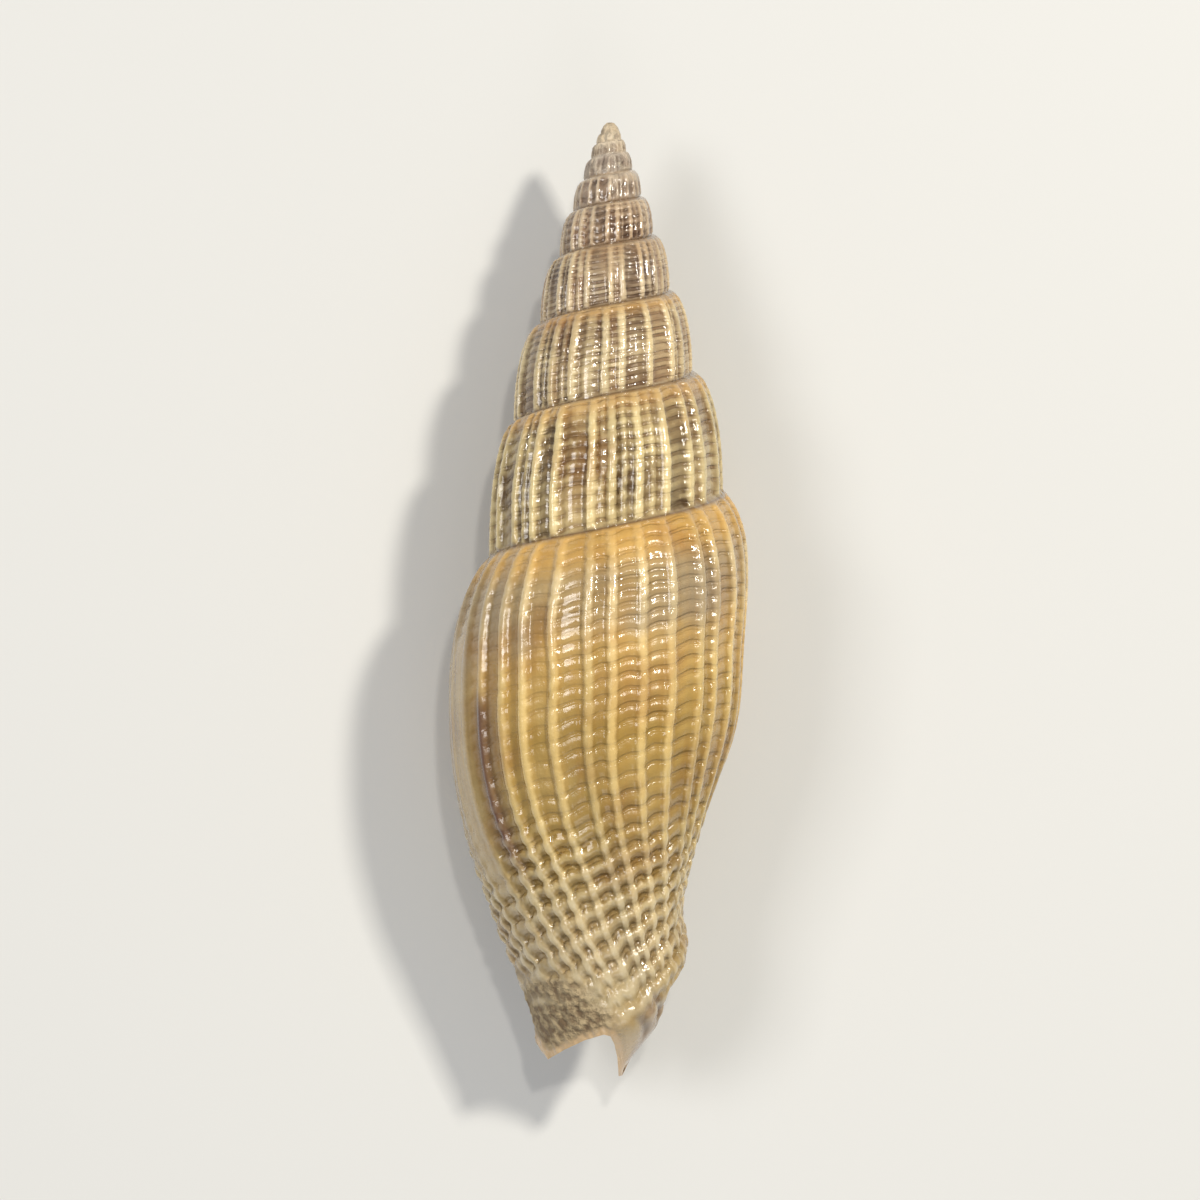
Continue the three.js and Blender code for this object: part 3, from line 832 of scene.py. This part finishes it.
# The hollow behind the mouth
def hollow_form():
    shares = [np.linspace(0, 1, count + 1) for count in (HOLLOW_COLUMNS, HOLLOW_ROWS)]
    across, down = np.meshgrid(*shares, indexing="ij")
    newest = LIP_TURN + CALLUS_TURN
    top = suture_depth(HOLLOW_TURN + (newest - HOLLOW_TURN) * across) + HOLLOW_DROP
    depth = top + (LENGTH + HOLLOW_PAST_TIP - top) * down
    start = HOLLOW_TURN + (HOLLOW_TURN_AT_CANAL - HOLLOW_TURN) * rise(depth, *CANAL_CLOSES)
    turn = start + (newest - start) * across + lag(depth)
    low, high = hollow_radii(turn, depth, across, down)
    points = np.stack([placed(turn, depth, low), placed(turn, depth, high)])
    faces = hollow_faces(np.arange(points.size // 3).reshape(points.shape[:3]))
    return points.reshape(-1, 3), [tuple(int(i) for i in face) for face in faces]


def hollow_radii(turn, depth, across, down):
    """From the columella to the inside of the wall, which has weak ridges behind the lip."""
    wall = WALL + (WALL_AT_CANAL - WALL) * rise(depth, *WALL_THINS)
    columella = np.maximum(envelope(turn - 1, depth) + folds(turn - 1, depth), LEAST_RADIUS)
    columella = columella + CALLUS * rise(across, *CALLUS_FROM)
    lirae = LIRA_HEIGHT * (1 + np.cos(TURN * cord_phase(turn, depth) / CORDS_TO_A_LIRA))
    lirae = lirae * rise(LIP_TURN + lag(depth) - turn, *LIRAE_FROM_LIP)
    inside = envelope(turn, depth) - wall - lirae
    taper = np.maximum(np.sqrt(rise(down, *HOLLOW_TOP)), HOLLOW_TOP_GAP)
    gap = np.maximum(inside - columella, LEAST_GAP) * taper
    low = np.minimum(columella, np.maximum(inside - LEAST_GAP, LEAST_RADIUS))
    return low, low + gap


def hollow_faces(ids):
    faces = []

    def quads(first, second):
        faces.extend(zip(first[:-1], first[1:], second[1:], second[:-1]))

    for k in range(HOLLOW_COLUMNS):
        quads(ids[1, k + 1], ids[1, k])
        quads(ids[0, k], ids[0, k + 1])
    quads(ids[1, 0], ids[0, 0])
    quads(ids[0, -1], ids[1, -1])
    quads(ids[0, :, 0], ids[1, :, 0])
    quads(ids[1, :, -1], ids[0, :, -1])
    return faces


def notch_form():
    x0, y0 = NOTCH_EDGE[0]
    left, bottom = x0 - NOTCH_MARGIN, -LENGTH - NOTCH_MARGIN
    outline = NOTCH_EDGE + [(NOTCH_EDGE[-1][0], bottom), (left, bottom), (left, y0 + NOTCH_MARGIN)]
    n = len(outline)
    points = [(x, y, z) for z in (-LENGTH / 2, LENGTH / 2) for x, y in outline]
    faces = [tuple(range(n)), tuple(range(n, 2 * n))[::-1]]
    faces += [(n + k, n + (k + 1) % n, (k + 1) % n, k) for k in range(n)]
    return np.array(points), faces


# Meshes
def mesh_object(name, points, faces):
    mesh = bpy.data.meshes.new(name)
    mesh.from_pydata([tuple(p) for p in points], [], faces)
    mesh.update()
    made = bpy.data.objects.new(name, mesh)
    bpy.context.collection.objects.link(made)
    return made


def cut(body, tool):
    modifier = body.modifiers.new("cut", "BOOLEAN")
    modifier.operation = "DIFFERENCE"
    modifier.solver = "MANIFOLD"
    modifier.object = tool
    bpy.context.view_layer.update()
    cut_mesh = bpy.data.meshes.new_from_object(body.evaluated_get(bpy.context.evaluated_depsgraph_get()))
    body.modifiers.clear()
    old = body.data
    body.data = cut_mesh
    bpy.data.meshes.remove(old)
    bpy.data.objects.remove(tool)


def mesh_points(mesh):
    points = np.empty(3 * len(mesh.vertices), np.float32)
    mesh.vertices.foreach_get("co", points)
    return points.reshape(-1, 3).astype(float)


def store(mesh, name, kind, values):
    attribute = mesh.attributes.new(name, kind, "POINT")
    if kind == "FLOAT":
        attribute.data.foreach_set("value", np.ascontiguousarray(values, np.float32))
        return
    colours = np.concatenate([values, np.ones((len(values), 1))], 1)
    attribute.data.foreach_set("color", np.ascontiguousarray(colours, np.float32).ravel())


def shell():
    skin = outer_form()
    body = mesh_object("shell_skin", skin.points(), skin.faces)
    cut(body, mesh_object("hollow", *hollow_form()))
    cut(body, mesh_object("notch", *notch_form()))
    mesh = body.data
    points = mesh_points(mesh)
    paint(mesh, points)
    to_frame = lie_down(mesh, points)
    mesh.shade_smooth()
    mesh.set_sharp_from_angle(angle=SHARP_ANGLE)
    body.data.materials.clear()
    body.data.materials.append(shell_material())
    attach(body, "root")
    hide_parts("shell")
    return to_frame


def lie_down(mesh, points):
    """Rolls the upright shell on to its mouth, into the frame's box, and flattens what it rests on."""
    low, high = (np.array(corner) / MM for corner in cad_box)
    roll = np.array(Matrix.Rotation(ROLL, 3, "Y"))
    turned = points @ roll.T
    least, most = turned.min(0), turned.max(0)
    fit = min(1, *((high - low)[:2] / (most - least)[:2])) * FIT_SLACK
    top = np.array([(low[0] + high[0]) / 2, (low[1] + high[1]) / 2, high[2] - TOP_CLEARANCE])
    shift = top - np.array([(least[0] + most[0]) / 2, (least[1] + most[1]) / 2, most[2]]) * fit
    lying = turned * fit + shift
    lying[:, 2] = np.maximum(lying[:, 2], 0)
    mesh.vertices.foreach_set("co", np.ascontiguousarray(lying * MM, np.float32).ravel())
    mesh.update()

    def to_frame(point):
        return (roll @ np.array(point) * fit + shift) * MM

    return to_frame


# Colours
def growth_of(points):
    """The turn, depth and radius of points of the upright shell."""
    depth = -points[:, 1]
    x = points[:, 0] - curve_through(SWAY_DEPTHS, SWAYS, depth)
    radius = np.hypot(x, points[:, 2])
    part = (np.arctan2(-x, points[:, 2]) / TURN - 0.25) % 1
    newest = LIP_TURN + lag(depth) + SEAM_SLACK
    turn = part + np.floor(newest - part)
    for _ in range(MOST_WHORLS):
        turn = np.where(depth < suture_depth(turn) - SUTURE_SLACK, turn - 1, turn)
    return np.maximum(turn, APEX_TURN), depth, radius


def colour_along(rows, place):
    places = [row[0] for row in rows]
    clipped = np.clip(place, places[0], places[-1])
    made = []
    for kind in (1, 2):
        channels = [np.interp(clipped, places, [row[kind][c] for row in rows]) for c in range(3)]
        made.append(np.stack(channels, -1))
    return made


def plain_colours(turn, depth):
    """The colours on the ribs and between them. Each rib and each hollow has its own tone."""
    last = last_whorl_share(turn)[:, None]
    top = suture_depth(turn)
    spire = colour_along(SPIRE_COLOURS, turn)
    body = colour_along(BODY_COLOURS, (depth - top) * (LENGTH - BODY_COLOURS_SUTURE) / (LENGTH - top))
    phase = rib_phase(turn - lag(depth))
    rib_tone = 1 + RIB_TONE_SPREAD * uneven(np.round(phase), *RIB_TONE_SPIN)
    spread = HOLLOW_TONE_SPREAD + SPIRE_HOLLOW_TONE_SPREAD * (1 - last[:, 0])
    hollow_tone = 1 + spread * uneven(np.floor(phase), *HOLLOW_TONE_SPIN)
    made = []
    for on_spire, on_body, tone in zip(spire, body, (rib_tone, hollow_tone)):
        made.append((on_spire * (1 - last) + on_body * last) * tone[:, None])
    return made


def edge_distance(points):
    """How far each point is from the free edge round the notch, seen from above."""
    least = np.full(len(points), FAR_AWAY)
    for (x0, y0), (x1, y1) in zip(NOTCH_EDGE[:-1], NOTCH_EDGE[1:]):
        step = np.array([x1 - x0, y1 - y0])
        along = np.clip(((points[:, :2] - (x0, y0)) @ step) / (step @ step), 0, 1)
        foot = np.array([x0, y0]) + along[:, None] * step
        least = np.minimum(least, np.hypot(*(points[:, :2] - foot).T))
    return least


def rim_share(points, depth):
    return (1 - rise(edge_distance(points), *RIM_WIDTH)) * (depth > RIM_BELOW)


def tint_shares(points, turn, depth):
    """Where each tint lies."""
    below = depth - suture_depth(turn)
    grown = turn - lag(depth)
    last = last_whorl_share(turn)
    phase = rib_phase(grown)
    limb = limb_share(turn, depth)
    crossing = np.sin(LIMB_LINE_RATES[1] * phase + LIMB_LINE_SLANT * depth)
    lines = 0.5 + 0.5 * np.sin(LIMB_LINE_RATES[0] * phase) * crossing
    shoulder = (1 - rise(whorl_share(turn, depth), *SHOULDER_TINT)) * rise(turn, *SHOULDER_TINT_FROM)
    streak = hump(grown, *STREAK) * rise(depth, *STREAK_BELOW) * fall(depth, *STREAK_ABOVE)
    crack = hump(below, *CRACK_SHADE_BAND) * rise(turn, *CRACK_SHADE_FROM)
    pillar = rise(depth, *PILLAR_BELOW) * fall(turn, *PILLAR_TO) * rise(turn, *PILLAR_FROM)
    return {
        "shoulder": shoulder * (1 - last),
        "worn": rise(grown, *WORN_FROM) * hump(below, *WORN_BAND) * last,
        "limb": limb,
        "limb_lines": limb * lines,
        "streak": streak,
        "fasciole": fasciole(turn, depth) / FASCIOLE_HEIGHT * fall(grown, *FASCIOLE_TINT_TO),
        "pillar": pillar,
        # Painted shade in the crack along the suture and in the creases
        "crack": np.maximum(CRACK_SHADE_STRENGTH * crack, CREASE_SHADE_STRENGTH * creases(turn, depth)),
        "rim": rim_share(points, depth),
    }


def mouth_share(turn, depth, radius):
    """1 inside the mouth and 0 on the outside."""
    return rise(sculpted(turn, depth) - radius, *MOUTH_DEPTH) * (depth > suture_depth(LIP_TURN))


def surface_colours(points, turn, depth, inside):
    """Colours on the ribs and between them."""
    shares = tint_shares(points, turn, depth)
    # Inside the mouth: the callus's cream, turning to painted shade brown deeper in
    deep = rise(LIP_TURN + lag(depth) - turn, *MOUTH_SHADE)[:, None]
    callus_and_mouth_shade = np.array(CALLUS_CREAM) * (1 - deep) + np.array(MOUTH_SHADE_BROWN) * deep
    made = []
    for colour in plain_colours(turn, depth):
        for name, tint, strength in TINTS:
            share = np.clip(strength * shares[name], 0, 1)[:, None]
            colour = colour * (1 - share) + np.array(tint) * share
        made.append(colour * (1 - inside[:, None]) + callus_and_mouth_shade * inside[:, None])
    return made


def paint(mesh, points):
    """Stores the colours and the masks that the material reads."""
    turn, depth, radius = growth_of(points)
    inside = mouth_share(turn, depth, radius)
    ribs, hollows = surface_colours(points, turn, depth, inside)
    plain = 1 - np.clip(inside, 0, 1)
    last = last_whorl_share(turn)
    crusted = crust_share(turn, depth) * (1 - rim_share(points, depth))
    cosine, sine = cord_waves(turn, depth)
    band = hump(depth - suture_depth(turn), *GREY_BAND) * last
    store(mesh, "rib_colour", "FLOAT_COLOR", ribs)
    store(mesh, "hollow_colour", "FLOAT_COLOR", hollows)
    store(mesh, "rib", "FLOAT", 1 - (1 - rib_height(turn, depth)) * rib_fade(turn, depth) * plain)
    store(mesh, "cord_cosine", "FLOAT", cosine)
    store(mesh, "cord_sine", "FLOAT", sine)
    store(mesh, "cords", "FLOAT", plain * cord_share(turn, depth))
    store(mesh, "base", "FLOAT", base_share(turn, depth) * plain)
    store(mesh, "spire", "FLOAT", (1 - last) * plain)
    store(mesh, "crust", "FLOAT", crusted * plain)
    store(mesh, "tip", "FLOAT", tip_share(turn))
    store(mesh, "grey_band", "FLOAT", band * plain)


# Material
class Nodes:
    """Builds a material's nodes. A value is a number, a colour or another node's output."""

    def __init__(self, name):
        self.material = bpy.data.materials.new(name)
        self.material.use_nodes = True
        self.tree = self.material.node_tree
        self.shader = self.tree.nodes["Principled BSDF"]

    def add(self, kind, **settings):
        node = self.tree.nodes.new(kind)
        for key, value in settings.items():
            setattr(node, key, value)
        return node

    def link(self, source, target):
        self.tree.links.new(source, target)

    def put(self, target, value):
        if isinstance(value, (int, float, tuple)):
            target.default_value = value
        else:
            self.link(value, target)

    def attribute(self, name, output="Fac"):
        return self.add("ShaderNodeAttribute", attribute_name=name).outputs[output]

    def math(self, operation, first, second=0.0, clamped=False):
        node = self.add("ShaderNodeMath", operation=operation, use_clamp=clamped)
        self.put(node.inputs[0], first)
        self.put(node.inputs[1], second)
        return node.outputs[0]

    def times(self, first, *others):
        for other in others:
            first = self.math("MULTIPLY", first, other)
        return first

    def mix(self, share, first, second, blend="MIX"):
        node = self.add("ShaderNodeMix", data_type="RGBA", blend_type=blend)
        self.put(node.inputs["Factor"], share)
        self.put(node.inputs[6], first)
        self.put(node.inputs[7], second)
        return node.outputs[2]

    def noise(self, scale, detail, stretch=(1, 1, 1)):
        place = self.add("ShaderNodeTexCoord").outputs["Object"]
        mapping = self.add("ShaderNodeMapping")
        mapping.inputs["Scale"].default_value = stretch
        self.link(place, mapping.inputs["Vector"])
        node = self.add("ShaderNodeTexNoise")
        node.inputs["Scale"].default_value = scale
        node.inputs["Detail"].default_value = detail
        self.link(mapping.outputs["Vector"], node.inputs["Vector"])
        return node.outputs["Fac"]

    def ramp(self, value, low, high, start=0.0, end=1.0):
        node = self.add("ShaderNodeMapRange", clamp=True)
        for name, number in (("From Min", low), ("From Max", high), ("To Min", start), ("To Max", end)):
            node.inputs[name].default_value = number
        self.link(value, node.inputs["Value"])
        return node.outputs["Result"]


def cord_profile(nodes):
    """The wave of the cords, then 1 on the cords, then 1 in the narrow grooves between them."""
    cosine, sine = nodes.attribute("cord_cosine"), nodes.attribute("cord_sine")
    squares = nodes.math("ADD", nodes.times(cosine, cosine), nodes.times(sine, sine))
    length = nodes.math("SQRT", nodes.math("ADD", squares, WAVE_SOFTENING))
    wave = nodes.math("DIVIDE", cosine, length)
    shown = nodes.attribute("cords")
    cord = nodes.times(nodes.ramp(wave, *CORD_RAMP), shown)
    groove = nodes.times(nodes.ramp(wave, *GROOVE_RAMP), shown)
    return nodes.times(wave, shown), cord, groove


def ribs_and_cords(nodes, rib, cord, groove, mottle):
    """The colour of the ribs, of the hollows between them and of the cords that cross both, with painted
    shade in the narrow grooves between the cords.
    """
    base, spire = nodes.attribute("base"), nodes.attribute("spire")
    on_ribs = nodes.attribute("rib_colour", "Color")
    between = nodes.attribute("hollow_colour", "Color")
    bead = nodes.times(base, cord)
    raised = nodes.math("MAXIMUM", rib, nodes.times(bead, BEAD_STRENGTH))
    raised = nodes.math("ADD", raised, nodes.ramp(mottle, *RAGGED_RIB_RAMP), True)
    blotch = nodes.ramp(nodes.noise(*BLOTCHES), *BLOTCH_RAMP)
    softer = nodes.mix(nodes.times(blotch, nodes.ramp(spire, *BLOTCHES_ON_SPIRE)), between, on_ribs)
    colour = nodes.mix(nodes.ramp(raised, *RIB_COLOUR_RAMP), softer, on_ribs)
    colour = nodes.mix(nodes.times(spire, cord, nodes.ramp(mottle, *THREAD_RAMP)), colour, on_ribs)
    colour = nodes.mix(nodes.times(bead, nodes.ramp(rib, *BEAD_TOP_RAMP)), colour, BEAD_CREAM)
    # Painted shade in the narrow grooves between the cords, weaker on the ribs and the base, and patchy
    groove_shade_share = nodes.times(nodes.ramp(spire, *GROOVE_SHADE_ON_SPIRE), nodes.ramp(base, *GROOVE_SHADE_ON_BASE))
    patchy = nodes.times(groove_shade_share, nodes.ramp(nodes.noise(*BLOTCHES), *GROOVE_SHADE_PATCH_RAMP))
    painted_groove_shade = nodes.times(groove, patchy, nodes.ramp(rib, *GROOVE_SHADE_ON_RIBS))
    return nodes.mix(painted_groove_shade, colour, GROOVE_SHADE_BROWN, "MULTIPLY")


def stains_and_crust(nodes, colour, growth, flakes, crust, tip):
    """Lays the stains, the grey band, the growth lines, the crust and the chalk over the colour."""
    stains = nodes.ramp(nodes.noise(*STAINS), *STAIN_RAMP)
    colour = nodes.mix(stains, colour, STAIN_BROWN, "MULTIPLY")
    grey = nodes.times(nodes.attribute("grey_band"), nodes.ramp(nodes.noise(*BAND_PATCHES), *BAND_RAMP))
    colour = nodes.mix(nodes.times(grey, BAND_STRENGTH), colour, BAND_GREY)
    colour = nodes.mix(nodes.ramp(growth, *GROWTH_RAMP), colour, GROWTH_BROWN, "SOFT_LIGHT")
    crust_colour = nodes.mix(flakes, CRUST_BROWN, CRUST_CREAM)
    colour = nodes.mix(nodes.times(crust, CRUST_STRENGTH), colour, crust_colour)
    colour = nodes.mix(nodes.times(tip, nodes.ramp(flakes, *TIP_CHALK_RAMP)), colour, TIP_CHALK)
    return nodes.mix(nodes.times(tip, nodes.ramp(flakes, *TIP_PIT_RAMP)), colour, TIP_PIT_BROWN)


def add_bump(nodes, heights):
    terms = [nodes.times(height, share) for height, share in heights]
    relief = terms[0]
    for term in terms[1:]:
        relief = nodes.math("ADD", relief, term)
    bump = nodes.add("ShaderNodeBump")
    bump.inputs["Strength"].default_value = BUMP_STRENGTH
    bump.inputs["Distance"].default_value = BUMP_DISTANCE
    nodes.link(relief, bump.inputs["Height"])
    nodes.link(bump.outputs["Normal"], nodes.shader.inputs["Normal"])


def shell_material():
    nodes = Nodes("natural_shell")
    rib, crust, tip = nodes.attribute("rib"), nodes.attribute("crust"), nodes.attribute("tip")
    mottle, grain, growth = nodes.noise(*MOTTLE), nodes.noise(*GRAIN), nodes.noise(*GROWTH)
    flakes = nodes.ramp(nodes.noise(*FLAKES), *FLAKE_RAMP)
    wave, cord, groove = cord_profile(nodes)
    colour = ribs_and_cords(nodes, rib, cord, groove, mottle)
    colour = stains_and_crust(nodes, colour, growth, flakes, crust, tip)
    dull = nodes.math("MAXIMUM", crust, tip)
    rough = nodes.math("ADD", nodes.ramp(mottle, *ROUGHNESS_RAMP), nodes.times(dull, DULL_ROUGHNESS), True)
    inputs = nodes.shader.inputs
    nodes.link(colour, inputs["Base Color"])
    nodes.link(rough, inputs["Roughness"])
    nodes.link(nodes.ramp(dull, *COAT_RAMP), inputs["Coat Weight"])
    inputs["IOR"].default_value = INDEX
    inputs["Coat Roughness"].default_value = COAT_ROUGHNESS
    hollowness = nodes.ramp(rib, *BUMP_ON_RIBS)
    add_bump(nodes, [
        (grain, GRAIN_BUMP),
        (mottle, MOTTLE_BUMP),
        (growth, GROWTH_BUMP),
        (nodes.times(dull, flakes), FLAKE_BUMP),
        (nodes.times(wave, hollowness), CORD_BUMP),
        (nodes.times(groove, hollowness), GROOVE_BUMP),
    ])
    return nodes.material


# Floor, camera and lights
def floor():
    corners = ((-1, -1), (1, -1), (1, 1), (-1, 1))
    points = [(x * FLOOR_REACH, y * FLOOR_REACH, 0) for x, y in corners]
    made = mesh_object("floor", points, [(0, 1, 2, 3)])
    nodes = Nodes("pale_floor")
    tone = nodes.ramp(nodes.noise(*FLOOR_NOISE), *FLOOR_RAMP)
    nodes.link(nodes.mix(tone, *FLOOR_TONES), nodes.shader.inputs["Base Color"])
    nodes.shader.inputs["Roughness"].default_value = FLOOR_ROUGHNESS
    made.data.materials.append(nodes.material)


def camera(to_frame):
    """Straight down on the upright shell, so as far off the vertical as the shell is rolled."""
    distance = LENS / SENSOR * IMAGE_PIXELS * PIXEL * MM
    middle = IMAGE_PIXELS / 2
    target = to_frame(((middle - AXIS_PIXEL) * PIXEL, (APEX_PIXEL - middle) * PIXEL, 0))
    turn = Euler((0, ROLL, 0)).to_matrix()
    data = bpy.data.cameras.new("camera")
    data.lens = LENS
    data.sensor_width = SENSOR
    made = bpy.data.objects.new("camera", data)
    bpy.context.collection.objects.link(made)
    made.matrix_world = Matrix.Translation(Vector(target) + turn @ Vector((0, 0, distance))) @ turn.to_4x4()
    bpy.context.scene.camera = made


def area_light(name, place, size, power, colour):
    data = bpy.data.lights.new(name, "AREA")
    data.size = size
    data.energy = power
    data.color = colour
    made = bpy.data.objects.new(name, data)
    made.location = place
    made.rotation_euler = (-Vector(place)).to_track_quat("-Z", "Y").to_euler()
    bpy.context.collection.objects.link(made)


def lights():
    sky = bpy.data.worlds.new("studio")
    sky.use_nodes = True
    background = sky.node_tree.nodes["Background"]
    background.inputs["Color"].default_value = SKY_COLOUR
    background.inputs["Strength"].default_value = SKY_STRENGTH
    bpy.context.scene.world = sky
    for light in LIGHTS:
        area_light(*light)


to_frame = shell()
camera(to_frame)
floor()
lights()
bpy.context.scene.view_settings.view_transform = "Standard"
